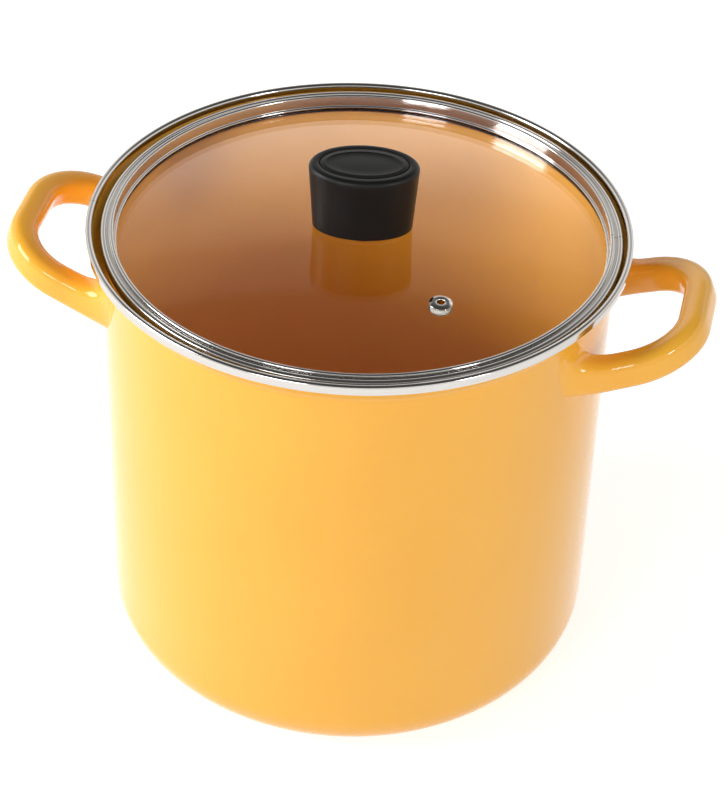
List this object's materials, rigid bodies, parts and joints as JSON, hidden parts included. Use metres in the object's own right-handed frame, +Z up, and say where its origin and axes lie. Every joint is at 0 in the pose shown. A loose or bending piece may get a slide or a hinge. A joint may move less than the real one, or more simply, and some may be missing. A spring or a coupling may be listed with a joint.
{
  "type": "water bath canner",
  "caption": "Tall enamelled pot with welded loop handles, a steam-vented glass lid with an oval knob, and a low wire jar rack inside.",
  "frame": {"origin": "centre of the pot's flat base", "axes": "+Z up through the pot, the two loop handles on -X and +X"},
  "size_m": [0.3914, 0.297, 0.3089],
  "materials": {
    "enamel": "glossy vitreous enamel, warm yellow-orange",
    "stainless": "rolled stainless, fine circumferential brushing",
    "glass": "clear tempered glass",
    "phenolic": "satin black moulded phenolic",
    "brass": "turned brass",
    "silicone": "translucent grey silicone",
    "rack_wire": "bright plated wire"
  },
  "bodies": {
    "pot": {"pot_shell": "enamel", "pot_rim_trim": "stainless", "handle_left": "enamel", "handle_right": "enamel"},
    "lid": {"lid_glass": "glass", "lid_band": "stainless", "knob_body": "phenolic", "knob_cap": "phenolic", "knob_insert": "brass", "knob_screw": "stainless", "knob_washer": "stainless", "knob_seal_lower": "silicone", "knob_seal_upper": "silicone", "vent_eyelet": "stainless", "vent_seals": "silicone"},
    "rack": {"rack_outer_ring": "rack_wire", "rack_inner_ring": "rack_wire", "rack_grid_bars": "rack_wire", "rack_feet": "rack_wire", "rack_lugs": "rack_wire"},
    "bail_right": {"rack_bail_right": "rack_wire"},
    "bail_left": {"rack_bail_left": "rack_wire"}
  },
  "joints": [
    {"name": "lid_lift", "type": "slide", "parent": "pot", "child": "lid", "axis": [0, 0, 1], "range_m": [0, 0.45]},
    {"name": "rack_lift", "type": "slide", "parent": "pot", "child": "rack", "axis": [0, 0, 1], "range_m": [0, 0.315]},
    {"name": "bail_right_fold", "type": "hinge", "parent": "rack", "child": "bail_right", "pos_m": [0.11, 0, 0.0216], "axis": [0, 1, 0], "range_deg": [0, 95]},
    {"name": "bail_left_fold", "type": "hinge", "parent": "rack", "child": "bail_left", "pos_m": [-0.11, 0, 0.0216], "axis": [0, -1, 0], "range_deg": [0, 95]}
  ],
  "couplings": [
    {"joint": "rack_lift", "follows": "lid_lift", "ratio": 0.7}
  ]
}
